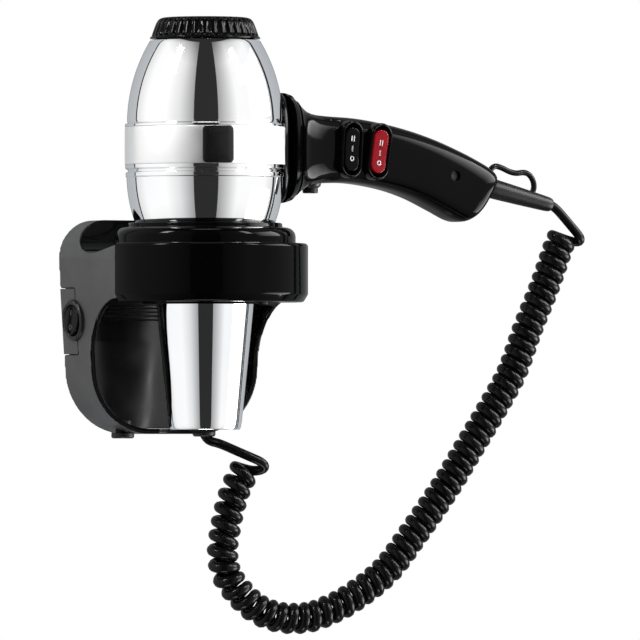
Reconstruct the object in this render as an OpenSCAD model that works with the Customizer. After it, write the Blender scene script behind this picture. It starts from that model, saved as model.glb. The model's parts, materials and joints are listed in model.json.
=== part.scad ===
// Wall-mounted hair dryer. The dryer stands nozzle down in the ring of a wall
// holder, and a curly cord joins its handle to the holder.
// Origin: centre of the wall plate's back face. +Y runs into the wall, +Z is up.

/* [Holder] */
// Distance from the wall to the dryer's axis
reach = 66; // [65:0.5:67]
// Half width of the holder at the ring, also the ring's outer radius
ring_r = 58; // [58:0.5:59]
// Half height of the holder
half_h = 60.5; // [60.5:0.5:62]
// Wall thickness of the holder's mouldings
wall = 3; // [2.5:0.25:3]
// Height of the ring's underside
ring_z0 = 12.5; // [12:0.5:13]
// Height of the ring's top face
ring_z1 = 46; // [45.5:0.5:46]
// Radius of the collar that stands on the ring
collar_r = 51; // [50.5:0.25:51]
// Top of the collar
collar_z = 58.3; // [58:0.1:58.5]
// Depth of the cheeks below the ring, from the wall
cheek_depth = 31.5; // [30:0.5:32]

/* [Wall fixing] */
// Distance between the wall screws, across
screw_dx = 68; // [60:2:68]
// Distance between the wall screws, up and down
screw_dz = 80; // [72:2:80]
// Radius of a wall screw hole
screw_hole_r = 2.25; // [2:0.25:2.75]
// Radius of the cable entry in the wall plate
entry_r = 7; // [5:0.5:7]

/* [Dryer body] */
// Radius of the chrome middle band
band_r = 45.3; // [45.3:0.1:45.6]
// Bottom of the middle band
band_z0 = 91; // [90.5:0.5:91]
// Top of the middle band
band_z1 = 112.3; // [112:0.1:112.5]
// Radius of the curve of the upper shell, seen from the side
dome_R = 91.5; // [91:0.5:92]
// Radius of the curve of the lower shell, seen from the side
bowl_R = 81.5; // [81:0.5:82]
// Wall thickness of the body shells
shell_t = 1.8; // [1.5:0.1:2]
// Radius of the nozzle's mouth
mouth_r = 20.3; // [20:0.1:21]
// Height of the nozzle's mouth
mouth_z = -58; // [-59:0.5:-57]
// Growth of the nozzle's radius for each millimetre of height
nozzle_slope = 0.1014; // [0.1:0.0005:0.103]

/* [Inlet cap] */
// Radius of the cap at its lower edge
cap_r0 = 31; // [30.5:0.5:31]
// Radius of the cap at its top
cap_r1 = 26; // [25:0.5:26.5]
// Lower edge of the cap
cap_z0 = 161.9; // [161.8:0.1:162]
// Top of the cap
cap_z1 = 174; // [173:0.5:175]
// Number of grip ribs around the cap
cap_ribs = 36; // [24:4:40]

/* [Handle] */
// Half thickness of the grip, front to back
grip_w = 16.2; // [15.5:0.1:16.5]
// Wall thickness of the handle shells
grip_t = 2.2; // [1.8:0.1:2.4]
// How far in front of the handle's middle the two shells part
part_front = 12.5; // [12:0.1:12.6]
// Thickness of the flange between the body and the handle
flange_t = 4.6; // [4:0.2:4.8]

/* [Switches] */
// Half length of a rocker
rocker_l = 12.4; // [12:0.1:12.6]
// Half width of a rocker
rocker_w = 4.8; // [4.5:0.1:4.9]
// Half length of a switch bezel
bezel_l = 16.3; // [16:0.1:16.5]
// Half width of a switch bezel
bezel_w = 7; // [6.8:0.1:7.2]
// Radius of the cold air button
button_r = 4.4; // [4:0.1:4.5]
// How far the cold air button goes in
button_travel = 2.5; // [2:0.25:2.5]

/* [Cord] */
// Diameter of the cord
cord_d = 5.6; // [5.2:0.1:5.8]
// Outer diameter of the curly stretch
curl_d = 18.2; // [17:0.1:19]

/* [Hidden] */
$fn = 64;

eps = 0.1;              // how far a cut runs past a face
fit_gap = 0.3;          // clearance between moving pieces
seam = 0.1;             // clearance between fixed pieces
axis_y = -reach;

// Holder outline, seen from the front
top_c = [36, 38.5];     // centre of the top corner's arc, right side
top_R = half_h - top_c[1];
low_c = [16, -22.5];    // centre of the bottom corner's arc, right side
low_R = half_h + low_c[1];
side_tilt = atan2(top_c[0] + top_R - low_c[0] - low_R, top_c[1] - low_c[1]);

// Holder profile, seen from the side: Y, then Z
arch_c = [-66.3, -19.3];    // centre of the arch under the ring
arch_R = 35;
scoop_c = [-37, 63];        // centre of the scoop in the top
scoop_R = 22;

// Side switch of the holder
switch_y = -14.4;
switch_z = 3.7;
switch_x = -(low_c[0] + low_R + (switch_z - low_c[1]) * tan(side_tilt));
plate_z = [-15.5, 21.7];
plate_y = -16.5;
master_tilt = 7;

gland_at = [26.4, -18];
panel_y = -8;
panel_t = 2.2;
plug_at = [-22, -46];
entry_at = [22, 12];
arm_y = -45;            // where the ring's arms meet the housing
bore_r = 36;            // radius of the way through the ring
boss_h = 7;             // height of the bosses round the gland and its twin

// Body curves, as radius and height of each arc's centre
dome_c = [44 - dome_R, 114];
bowl_c = [44.3 - bowl_R, 86];
dome_z = [115.5, 161];
bowl_z = [42, 83.6];
neck_r = 27.4;
neck_z = 28;
nozzle_z1 = 41.9;
nozzle_t = 1.4;
function nozzle_r(z) = mouth_r + (z - mouth_z) * nozzle_slope;

// Handle rings: centre X and Z, tilt, half height, share of the grip's thickness
handle_z = 101;
handle_rings = [[40, 101, 0, 30, 1.4], [50, 101, 0, 29, 1.3], [56, 100.3, 0, 25.8, 1.17],
    [61, 100.6, 0, 21.8, 1.09], [67, 100.4, 0, 20, 1.04], [76, 100.5, -1, 19, 1.01],
    [95, 99.9, -6, 18.4, 1], [118, 96.3, -12, 18, 1], [138, 90.8, -18, 18, 1],
    [156, 83.6, -24, 18.4, 1], [170, 77, -28, 18.6, 0.99], [176.5, 75, -31, 16.4, 0.93],
    [179.4, 75.8, -32, 12.5, 0.75], [181, 75.4, -32, 8, 0.5]];
handle_inner = [for (i = [0:11]) handle_rings[i]];
ring_sides = 24;
squareness = 3.5;       // 2 is an ellipse, more is squarer
part_y = axis_y - part_front;
speed_at = [84.2, 100.5, 3];    // X, Z and tilt of each switch
heat_at = [102.4, 99.4, 8];
pivot_y = axis_y - grip_w + 1;
bezel_top = 5.5;
bezel_in = 2.6;         // how far a bezel reaches in past the rockers' pivot
slot_l = rocker_l + 1.1;
slot_w = rocker_w + 0.5;
screw_at = [154.7, 86.4];
screw_seat = axis_y - 12;       // Y of the seat under the handle screw's head
button_x = 68.3;
button_z0 = 75.8;
button_z1 = 86;
relief_at = [184, 80.8];
relief_tilt = 13;
relief_len = 45;

motor_z = [104, 136];
shaft_r = 1.15;

// Cord route: X and Z of each point. It lies in one upright plane.
function cord_y(x) = gland_at[1] - 48 * (x - gland_at[0]) / 202;
cord_n = [48, 202, 0] / norm([48, 202, 0]);
lead_handle_route = [[228.7, 70.5], [230.8, 70], [233.4, 66.4], [239, 59.4], [244.6, 53],
    [245.2, 49], [240, 46.8]];
coil_route = [[235, 54], [232.5, 48], [224, 24], [214.2, 0], [205, -25], [194, -45],
    [181, -66.5], [166, -91], [147.5, -117.5], [131, -139], [111.5, -154], [98, -161],
    [86, -165], [70.5, -165], [57, -160], [46.5, -150.5], [39, -139.5], [37, -127],
    [38.5, -115], [41, -103], [44.5, -92], [49, -82]];
lead_holder_route = [[26.4, -62], [27, -64.8], [33, -68.2], [45, -73.6], [55.5, -78.8], [54, -83.5]];

// Points of an arc about c, with radius r, from angle a0 to a1
function arc(c, r, a0, a1, n) =
    [for (i = [0:n]) let (a = a0 + (a1 - a0) * i / n) c + r * [cos(a), sin(a)]];

// Radius and height points of a body curve, from height z0 to z1
function curve(c, R, z0, z1, n) =
    [for (i = [0:n]) let (z = z0 + (z1 - z0) * i / n) [c[0] + sqrt(R * R - pow(z - c[1], 2)), z]];

function outline(m) = concat(
    arc(top_c, top_R - m, 0, 90, 8),
    arc([-top_c[0], top_c[1]], top_R - m, 90, 180, 8),
    arc([-low_c[0], low_c[1]], low_R - m, 180, 270, 10),
    arc(low_c, low_R - m, 270, 360, 10));

// A shape seen from the front, pushed out from the wall between y0 and y1
module front_prism(y0, y1) {
    translate([0, y0, 0]) rotate([90, 0, 0]) linear_extrude(y0 - y1) children();
}

module on_axis() translate([0, axis_y, 0]) children();

module holder_form() {
    intersection() {
        front_prism(0, -130) polygon(outline(0));
        translate([0, 0, -half_h - 1]) linear_extrude(2 * half_h + 2) union() {
            translate([-ring_r, axis_y]) square([2 * ring_r, reach]);
            translate([0, axis_y]) circle(ring_r);
        }
        translate([-70, 0, 0]) rotate([90, 0, 90]) linear_extrude(140) polygon(concat(
            [[0, -half_h], [-cheek_depth, -half_h]],
            arc(arch_c, arch_R, 0, 90, 12),
            [[-130, arch_c[1] + arch_R], [-130, ring_z1], [axis_y, ring_z1]],
            arc(scoop_c, scoop_R, 255, 353, 14),
            [[0, half_h]]));
    }
}

module revolve(pts) rotate_extrude() polygon(pts);

module wall_plate() {
    color("dimgray") difference() {
        front_prism(0, -wall) polygon(outline(wall + fit_gap));
        for (sx = [-1, 1], sz = [-1, 1])
            translate([sx * screw_dx / 2, eps, sz * screw_dz / 2]) rotate([90, 0, 0])
                cylinder(r = screw_hole_r, h = wall + 1);
        translate([entry_at[0], eps, entry_at[1]]) rotate([90, 0, 0])
            cylinder(r = entry_r, h = wall + 1);
        translate([plug_at[0], eps, plug_at[1]]) rotate([90, 0, 0]) cylinder(r = 1.55, h = wall + 1);
    }
}

module at_switch() {
    translate([switch_x, switch_y, switch_z]) rotate([0, -90 - side_tilt, 0]) children();
}

module holder_housing() {
    color([0.05, 0.05, 0.055]) difference() {
        union() {
            holder_form();
            // flat bosses that the gland and its twin bear on
            for (sx = [-1, 1]) translate([sx * gland_at[0], gland_at[1], -half_h])
                cylinder(r = 6.5, h = boss_h);
        }
        // room for the dryer, the liner and the ring
        on_axis() translate([0, 0, -half_h - 1]) cylinder(r = bore_r, h = 2 * half_h + 2);
        on_axis() translate([0, 0, ring_z1]) cylinder(r = collar_r + fit_gap, h = 30);
        on_axis() translate([0, 0, ring_z0 - 2 * eps])
            cylinder(r = ring_r + seam, h = ring_z1 + seam - ring_z0 + 2 * eps);
        translate([-70, -140, ring_z0 - 2 * eps]) cube([140, 140 + arm_y + seam, 60]);
        // the open recess behind the nozzle
        front_prism(1, -70) intersection() {
            polygon(outline(wall));
            translate([-70, -70]) square([140, 70 + ring_z0 - eps]);
        }
        // seat of the wall plate
        front_prism(1, -wall - seam) polygon(outline(wall));
        // compartment behind the ring
        difference() {
            front_prism(1, -45) intersection() {
                polygon(outline(wall));
                translate([-55, ring_z0 + 3.5]) square([110, half_h - wall - ring_z0 - 3.5]);
            }
            on_axis() cylinder(r = ring_r + wall, h = 80);
            translate([-70, scoop_c[0], scoop_c[1]]) rotate([0, 90, 0])
                cylinder(r = scoop_R + wall, h = 140);
            translate([-70, -60, 38]) cube([140, 60 + scoop_c[0], 30]);
        }
        for (sx = [-1, 1]) translate([sx * gland_at[0], gland_at[1], -half_h - 1])
            cylinder(r = 5.1, h = boss_h + 2);
        at_switch() translate([0, 0, -12]) cylinder(r = 10.2, h = 18);
        translate([-70, plate_y - fit_gap, plate_z[0]]) cube([30, 30, plate_z[1] - plate_z[0]]);
    }
}

module holder_ring() {
    color([0.05, 0.05, 0.055]) difference() {
        union() {
            on_axis() revolve(concat(
                [[bore_r, ring_z0], [ring_r - 3.3, ring_z0], [ring_r, ring_z0 + 4.8]],
                arc([ring_r - 3, ring_z1 - 3], 3, 0, 90, 5),
                [[collar_r - 0.8, ring_z1], [collar_r - 0.8, ring_z1 - wall],
                    [ring_r - wall, ring_z1 - wall], [ring_r - wall, ring_z0 + 6],
                    [ring_r - 4.5, ring_z0 + wall], [bore_r + 2.5, ring_z0 + wall],
                    [bore_r + 2.5, 43], [bore_r, 43]]));
            // the arms that carry the ring's sides back to the housing
            for (sx = [-1, 1]) translate([sx > 0 ? ring_r - 5 : 1 - ring_r, axis_y + 4, ring_z0 + 3])
                cube([4, arm_y - axis_y - 4, ring_z1 - ring_z0 - 6]);
        }
        translate([-70, scoop_c[0], scoop_c[1]]) rotate([0, 90, 0])
            cylinder(r = scoop_R, h = 140);
    }
}

module switch_plate() {
    color([0.05, 0.05, 0.055]) difference() {
        intersection() {
            front_prism(0, plate_y) difference() {
                polygon(outline(0));
                polygon(outline(wall));
            }
            translate([-70, plate_y, plate_z[0] + seam])
                cube([30, 30, plate_z[1] - plate_z[0] - 2 * seam]);
        }
        at_switch() translate([0, 0, -6]) cylinder(r = 10.2, h = 12);
    }
}

module ring_liner() {
    seat = curve(bowl_c, bowl_R + 0.4, collar_z, 43, 8);
    back = curve(bowl_c, bowl_R + 2.6, 43, collar_z - 2.2, 6);
    color([0.05, 0.05, 0.055]) on_axis() revolve(concat(
        [[collar_r, ring_z1 + seam], [collar_r, 50.4], [collar_r - 0.9, 52.6],
            [collar_r - 2.8, 54.6], [collar_r - 5.4, 55.6], [43.9, 55.8], [43.5, 57.7],
            [42.6, collar_z]],
        seat, [[32.6, 42], [32.6, ring_z0], [35.4, ring_z0], [35.4, 42]], back,
        [[43.2, 53.6], [47.6, 52.4], [collar_r - 2.4, 50], [collar_r - 2.4, ring_z1 + seam]]));
}

module back_panel() {
    slot_n = 4;
    slot_pitch = 2.2;
    color([0.04, 0.04, 0.045]) difference() {
        union() {
            front_prism(panel_y, panel_y - panel_t) intersection() {
                polygon(outline(wall + seam));
                translate([-70, -70]) square([140, 70 + ring_z0 - 0.3]);
            }
            front_prism(panel_y, panel_y - panel_t - 1.5) intersection() {
                polygon(outline(wall + 1));
                translate([-70, -70]) square([140, 62]);
            }
            translate([plug_at[0], panel_y, plug_at[1]]) rotate([-90, 0, 0])
                cylinder(r = 4.5, h = -panel_y - wall - seam);
        }
        for (i = [0:slot_n - 1])
            translate([-34, panel_y - 5, 3.6 + i * slot_pitch]) cube([68, 10, 1.1]);
        translate([plug_at[0], -wall, plug_at[1]]) rotate([90, 0, 0]) cylinder(r = 1.55, h = 20);
        translate([plug_at[0], panel_y - 0.5, plug_at[1]]) rotate([90, 0, 0]) cylinder(r = 3.3, h = 20);
        translate([-70, panel_y - 6, -7.5]) cube([26.3, 8, 25]);
    }
}

module panel_screw() {
    color("silver") translate([plug_at[0], 0, plug_at[1]]) rotate([90, 0, 0]) {
        translate([0, 0, 1]) cylinder(r = 1.5, h = 7.6);
        translate([0, 0, 8.6]) cylinder(r = 2.8, h = 1.6);
    }
}

module screw_plug() {
    color([0.04, 0.04, 0.045]) translate([plug_at[0], -10.3, plug_at[1]]) rotate([90, 0, 0])
        cylinder(r = 3.2, h = 1.6);
}

module blanking_plug() {
    color("black") translate([-gland_at[0], gland_at[1], -half_h - 1.5]) {
        cylinder(r = 5, h = 9);
        translate([0, 0, -1]) cylinder(r = 6.5, h = 2.4);
    }
}

module cord_gland() {
    color("black") translate([gland_at[0], gland_at[1], -62]) {
        cylinder(r = 5, h = 13);
        cylinder(r = 6.5, h = 1.4);
    }
}

module gland_nut() {
    color("dimgray") translate([gland_at[0], gland_at[1], boss_h - half_h + seam]) difference() {
        cylinder(r = 6.2, h = 3.5, $fn = 6);
        translate([0, 0, -eps]) cylinder(r = 5.05, h = 4);
    }
}

module switch_bezel() {
    color("black") at_switch() revolve([[8.9, -3], [10.1, -3], [10.1, seam], [11.8, seam],
        [11.8, 1.4], [11, 2.2], [8.9, 2.2]]);
}

module master_switch_body() {
    color("dimgray") at_switch() {
        translate([0, 0, -9.4]) cylinder(r = 10, h = 5.6);
        translate([-1.5, -3, -4]) cube([3, 6, 1.4]);
    }
}

module master_rocker() {
    color("black") at_switch() {
        rotate([0, master_tilt, 0]) translate([0, 0, -1.9]) cylinder(r = 8.3, h = 4.3);
        rotate([90, 0, 0]) cylinder(r = 1.2, h = 17.4, center = true);
    }
}

module terminal_block() {
    color("ivory") difference() {
        translate([34, -13, 24]) cube([16, 9.8, 14]);
        for (i = [0:2]) translate([37 + 5 * i, -14, 31]) rotate([-90, 0, 0]) cylinder(r = 1.6, h = 6);
    }
}

module terminal_screws() {
    color("silver") for (i = [0:2]) translate([37 + 5 * i, -12, 31]) rotate([-90, 0, 0])
        cylinder(r = 1.55, h = 3.9);
}

module upper_shell() {
    color("silver") on_axis() revolve(concat(
        [[band_r - shell_t, band_z1], [band_r - 0.2, band_z1], [band_r - 0.2, band_z1 + 1.4],
        [44.4, dome_z[0]]],
        curve(dome_c, dome_R, dome_z[0] + 0.4, dome_z[1], 12), [[28.6, dome_z[1]]],
        [[28.6, dome_z[1] - shell_t]],
        curve(dome_c, dome_R - shell_t, dome_z[1] - shell_t, band_z1 + 1, 12)));
}

module middle_band() {
    color("gainsboro") difference() {
        on_axis() revolve([[band_r - shell_t, band_z0], [band_r, band_z0], [band_r, band_z1],
            [band_r - shell_t, band_z1]]);
        translate([30, axis_y, handle_z]) rotate([0, 90, 0]) cylinder(r = 9, h = 30);
    }
}

module lower_shell() {
    color("silver") on_axis() revolve(concat(
        [[neck_r, neck_z], [neck_r, bowl_z[0]]],
        curve(bowl_c, bowl_R, bowl_z[0], bowl_z[1], 12),
        [[44.6, 84.2], [44.6, 87.4], [44, 87.8], [44, 88.4], [45, 88.8], [45, band_z0],
        [45 - shell_t, band_z0]],
        curve(bowl_c, bowl_R - shell_t, 86, bowl_z[0] + shell_t, 12),
        [[neck_r - shell_t, bowl_z[0] + shell_t], [neck_r - shell_t, neck_z]]));
}

module nameplate() {
    color([0.06, 0.06, 0.065]) on_axis() rotate([0, 0, -20]) intersection() {
        revolve([[band_r, band_z0 - 1], [band_r + 0.7, band_z0 - 1],
            [band_r + 0.7, band_z1 + 1], [band_r, band_z1 + 1]]);
        translate([0, -30, (band_z0 + band_z1) / 2]) rotate([90, 0, 0]) linear_extrude(30)
            rounded_box(17.5, 20.8, 2.3);
    }
}

module rounded_box(w, h, r) {
    union() {
        square([w - 2 * r, h], center = true);
        square([w, h - 2 * r], center = true);
        for (sx = [-1, 1], sy = [-1, 1]) translate([sx * (w / 2 - r), sy * (h / 2 - r)])
            circle(r, $fn = 24);
    }
}

module outlet_nozzle() {
    color("silver") on_axis() revolve([[mouth_r - nozzle_t, mouth_z + 0.6], [mouth_r - 0.7, mouth_z],
        [mouth_r, mouth_z + 0.6], [nozzle_r(nozzle_z1), nozzle_z1],
        [nozzle_r(nozzle_z1) - nozzle_t, nozzle_z1]]);
}

module outlet_grille() {
    color("black") on_axis() translate([0, 0, 24]) union() {
        for (r = [8, 16, 25.6]) difference() {
            cylinder(r = r + 1, h = 2.4);
            translate([0, 0, -1]) cylinder(r = r - 0.6, h = 5);
        }
        for (a = [0, 90]) rotate([0, 0, a]) translate([-26, -0.7, 0.4]) cube([52, 1.4, 1.6]);
    }
}

module inlet_cap() {
    color([0.05, 0.05, 0.055]) on_axis() difference() {
        union() {
            translate([0, 0, cap_z0]) cylinder(r1 = cap_r0, r2 = cap_r1, h = cap_z1 - cap_z0);
            translate([0, 0, cap_z0 - 3.5]) cylinder(r = 28.2, h = 4);
        }
        translate([0, 0, cap_z0 - 4]) cylinder(r = 26.4, h = 8);
        translate([0, 0, cap_z0 + 3.9]) cylinder(r1 = 26.4, r2 = cap_r1 - 2.5, h = 6);
        for (i = [0:cap_ribs - 1]) rotate([0, 0, i * 360 / cap_ribs])
            translate([cap_r1 + 1.8, -1.1, cap_z0 + 1.6]) cube([6, 2.2, 9]);
        for (i = [0:17]) rotate([0, 0, i * 20]) translate([8, -1, cap_z0]) cube([13.5, 2, 20]);
    }
}

module lint_filter() {
    color("dimgray") on_axis() translate([0, 0, cap_z0 + 1]) difference() {
        cylinder(r = 26.2, h = 1.2);
        for (a = [0:30:330]) rotate([0, 0, a]) translate([9, -1.5, -1]) cube([14, 3, 4]);
    }
}

module motor() {
    color("gray") on_axis() difference() {
        union() {
            translate([0, 0, motor_z[0]]) cylinder(r = 14, h = motor_z[1] - motor_z[0]);
            translate([0, 0, motor_z[0] - 3]) cylinder(r = 5, h = 4);
            translate([0, 0, motor_z[1] - 1]) cylinder(r = 5, h = 3);
        }
        translate([0, 0, motor_z[0] - 4]) cylinder(r = shaft_r + 0.05, h = 50);
    }
}

module motor_mount() {
    color("dimgray") on_axis() union() {
        difference() {
            translate([0, 0, 108]) cylinder(r = 16, h = 16);
            translate([0, 0, 107]) cylinder(r = 14.05, h = 18);
        }
        difference() {
            translate([0, 0, 108]) cylinder(r = 41.4, h = 10);
            translate([0, 0, 107]) cylinder(r = 39.6, h = 12);
        }
        for (i = [0:4]) rotate([0, 0, i * 72]) translate([15.5, -0.8, 109]) cube([24.6, 1.6, 8]);
    }
}

module impeller() {
    color("black") on_axis() difference() {
        union() {
            translate([0, 0, 140]) cylinder(r = 9, h = 13);
            for (i = [0:6]) rotate([0, 0, i * 360 / 7]) translate([8, 0, 146.5])
                rotate([38, 0, 0]) translate([0, -7, -0.8]) cube([20, 14, 1.6]);
        }
        translate([0, 0, 139]) cylinder(r = shaft_r + 0.02, h = 12);
    }
}

module motor_shaft() {
    color("silver") on_axis() translate([0, 0, 102]) cylinder(r = shaft_r, h = 48.5);
}

module heater_former() {
    color("khaki") on_axis() union() {
        for (a = [45, 135]) rotate([0, 0, a]) translate([-23.5, -0.5, 30]) cube([47, 1, 56]);
    }
}

module heater_coil() {
    rows = 8;
    color("silver") on_axis() for (i = [0:rows - 1]) translate([0, 0, 36 + 6 * i])
        rotate_extrude() translate([20, 0]) circle(0.9, $fn = 16);
}

module mica_sleeve() {
    color("khaki") on_axis() difference() {
        translate([0, 0, 29]) cylinder(r = 24.8, h = 58);
        translate([0, 0, 28]) cylinder(r = 24.1, h = 60);
    }
}

module thermostat() {
    color("white") on_axis() translate([6, -4, 78]) cube([9, 8, 5]);
}

// One ring of the handle, or of its cavity when t is the wall's thickness
function ring_points(g, t) = [for (i = [0:ring_sides - 1])
    let (a = 360 * i / ring_sides, c = cos(a), s = sin(a), p = 2 / squareness,
        y = sign(c) * pow(abs(c), p) * (g[4] * grip_w - t),
        v = sign(s) * pow(abs(s), p) * (g[3] - t))
    [g[0] - v * sin(g[2]), axis_y + y, g[1] + v * cos(g[2])]];

// A closed solid through rings of n points each
module skin(rings) {
    n = len(rings[0]);
    m = len(rings);
    polyhedron(
        points = [for (r = rings) each r],
        faces = concat([[for (i = [0:n - 1]) i]], [[for (i = [n - 1:-1:0]) (m - 1) * n + i]],
            [for (k = [0:m - 2], i = [0:n - 1]) let (j = (i + 1) % n)
                each [[k * n + i, (k + 1) * n + i, k * n + j],
                    [k * n + j, (k + 1) * n + i, (k + 1) * n + j]]]),
        convexity = 6);
}

module handle_form(t) {
    skin([for (g = t > 0 ? handle_inner : handle_rings) ring_points(g, t)]);
}

module at_rocker(s) {
    translate([s[0], pivot_y, s[1]]) rotate([0, s[2], 0]) rotate([90, 0, 0]) children();
}

// A stadium seen from the front, with half length l and half width w
module stadium(l, w) {
    union() {
        square([2 * w, 2 * (l - w)], center = true);
        for (s = [-1, 1]) translate([0, s * (l - w)]) circle(w, $fn = 32);
    }
}

module handle_hollow() {
    difference() {
        handle_form(0);
        handle_form(grip_t);
        on_axis() translate([0, 0, 50]) cylinder(r = 49.6, h = 100);
        translate([button_x, axis_y, 70]) cylinder(r = button_r + fit_gap, h = 20);
    }
}

// A round shape on the handle screw's axis, between y0 and y1
module screw_round(y0, y1, r) {
    translate([screw_at[0], y0, screw_at[1]]) rotate([90, 0, 0]) cylinder(r = r, h = y0 - y1);
}

module handle_front_shell() {
    color([0.05, 0.05, 0.055]) difference() {
        union() {
            difference() {
                handle_hollow();
                translate([0, part_y, 0]) cube([260, 100, 200]);
            }
            screw_round(screw_seat + 1.5, axis_y - grip_w + 1, 4.4);
        }
        for (s = [speed_at, heat_at]) at_rocker(s) translate([0, 0, -5]) linear_extrude(10)
            stadium(bezel_l + 0.05, bezel_w + 0.05);
        screw_round(screw_seat, axis_y - 30, 3.2);
        screw_round(axis_y, axis_y - 30, 1.6);
    }
}

module handle_rear_shell() {
    color([0.05, 0.05, 0.055]) difference() {
        union() {
            difference() {
                handle_hollow();
                translate([0, part_y - 100, 0]) cube([260, 100 + seam, 200]);
            }
            screw_round(axis_y + grip_w - 1, screw_seat + 1.6, 4);
        }
        screw_round(axis_y + 12, axis_y - 30, 1.5);
    }
}

module handle_screw() {
    color("silver") {
        screw_round(axis_y + 8, screw_seat, 1.5);
        screw_round(screw_seat, screw_seat - 2, 3);
    }
}

module handle_flange() {
    out = flange_t;
    color([0.05, 0.05, 0.055]) difference() {
        intersection() {
            translate([20, axis_y, handle_z]) rotate([90, 0, 90]) linear_extrude(40)
                polygon([for (a = [0:10:350]) let (c = cos(a), s = sin(a), p = 0.72)
                    [27 * sign(c) * pow(abs(c), p), 32 * sign(s) * pow(abs(s), p)]]);
            on_axis() revolve(concat([[0, 60]], curve(bowl_c, bowl_R + out, 60, 86, 6),
                curve(dome_c, dome_R + out, 114, 140, 6), [[0, 140]]));
        }
        on_axis() revolve(concat([[0, 55]], curve(bowl_c, bowl_R + 0.2, 55, 83, 6),
            [[band_r + 0.1, 83.2], [band_r + 0.1, 116]],
            curve(dome_c, dome_R + 0.2, 116.2, 150, 6), [[0, 150]]));
        translate([30, axis_y, handle_z]) rotate([0, 90, 0]) cylinder(r = 9, h = 30);
    }
}

module bezel(s) {
    color([0.04, 0.04, 0.04]) at_rocker(s) translate([0, 0, -bezel_in]) difference() {
        linear_extrude(bezel_top + bezel_in) stadium(bezel_l, bezel_w);
        translate([0, 0, -1]) linear_extrude(bezel_top + 6) stadium(slot_l, slot_w);
    }
}

module switch_body(s) {
    color("dimgray") at_rocker(s) {
        translate([-slot_w + 0.4, -slot_l + 1, -14]) cube([2 * slot_w - 0.8, 2 * slot_l - 2, 9.9]);
        translate([-3, -1, -4.2]) cube([6, 2, 2.6]);
    }
}

module rocker(s) {
    at_rocker(s) {
        difference() {
            translate([0, 0, -0.5]) linear_extrude(6.3) stadium(rocker_l, rocker_w);
            translate([-10, 0, 5.2 + 60]) rotate([0, 90, 0]) cylinder(r = 60, h = 20, $fn = 128);
        }
        rotate([0, 90, 0]) cylinder(r = 1.3, h = 2 * rocker_w + 0.6, center = true);
    }
}

module speed_bezel() bezel(speed_at);
module heat_bezel() bezel(heat_at);
module speed_switch_body() switch_body(speed_at);
module heat_switch_body() switch_body(heat_at);
module speed_rocker() color([0.03, 0.03, 0.03]) rocker(speed_at);
module heat_rocker() color([0.65, 0.02, 0.05]) rocker(heat_at);

module cold_button() {
    color("black") translate([button_x, axis_y, button_z0]) {
        cylinder(r = button_r, h = button_z1 - button_z0);
        translate([0, 0, button_z1 - button_z0 - 1.2]) cylinder(r = button_r + 0.9, h = 1.2);
    }
}

module cold_button_spring() {
    color("silver") translate([button_x, axis_y, button_z1 + seam]) difference() {
        cylinder(r = 2.2, h = button_travel + 0.1);
        translate([0, 0, -1]) cylinder(r = 1.6, h = 6);
    }
}

module cold_switch_body() {
    color("dimgray") translate([button_x - 6, axis_y - 4, button_z1 + button_travel + 0.3])
        cube([12, 8, 8]);
}

module strain_relief() {
    color([0.06, 0.06, 0.06]) translate([relief_at[0], axis_y, relief_at[1]])
        rotate([0, 90 + relief_tilt, 0]) cylinder(r1 = 5.8, r2 = 4.1, h = relief_len);
}

// A round tube through points of an upright plane with normal n
module tube(points, r, n, sides) {
    m = len(points);
    skin([for (i = [0:m - 1])
        let (d = points[min(i + 1, m - 1)] - points[max(i - 1, 0)], b = cross(n, d / norm(d)))
        [for (k = [0:sides - 1]) let (a = 360 * k / sides)
            points[i] + r * (cos(a) * n + sin(a) * b)]]);
}

module hanging_loop() {
    route = [[187, 83], [187.4, 88], [189, 91.6], [192, 92.4], [203, 88.4], [208, 88.8],
        [211.5, 88], [215.6, 83.5], [216, 80.5], [214, 77]];
    color([0.06, 0.06, 0.06])
        tube([for (p = route) [p[0], axis_y, p[1]]], 1.4, [0, 1, 0], 8);
}

module cord_tube(route, r, sides) {
    color([0.05, 0.05, 0.05]) tube([for (p = route) [p[0], cord_y(p[0]), p[1]]], r, cord_n, sides);
}

module cord_lead_handle() cord_tube(lead_handle_route, cord_d / 2, 8);
module cord_coil() cord_tube(coil_route, curl_d / 2, 12);
module cord_lead_holder() cord_tube(lead_holder_route, cord_d / 2, 8);

wall_plate();
holder_housing();
holder_ring();
ring_liner();
back_panel();
panel_screw();
screw_plug();
blanking_plug();
cord_gland();
gland_nut();
switch_plate();
switch_bezel();
master_switch_body();
master_rocker();
terminal_block();
terminal_screws();
upper_shell();
middle_band();
lower_shell();
nameplate();
outlet_nozzle();
outlet_grille();
inlet_cap();
lint_filter();
motor();
motor_mount();
impeller();
motor_shaft();
heater_former();
heater_coil();
mica_sleeve();
thermostat();
handle_flange();
handle_front_shell();
handle_rear_shell();
handle_screw();
speed_bezel();
heat_bezel();
speed_switch_body();
heat_switch_body();
speed_rocker();
heat_rocker();
cold_button();
cold_button_spring();
cold_switch_body();
strain_relief();
hanging_loop();
cord_lead_handle();
cord_coil();
cord_lead_holder();
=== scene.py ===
"""A wall-mounted hair dryer in its ring holder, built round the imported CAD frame.

Lengths are given in millimetres and turned to metres by MM. Heights and places
come from the frame's boxes, and each visible piece has its own function.
"""
import json
import math

import bmesh
import bpy
from mathutils import Matrix, Vector


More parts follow.
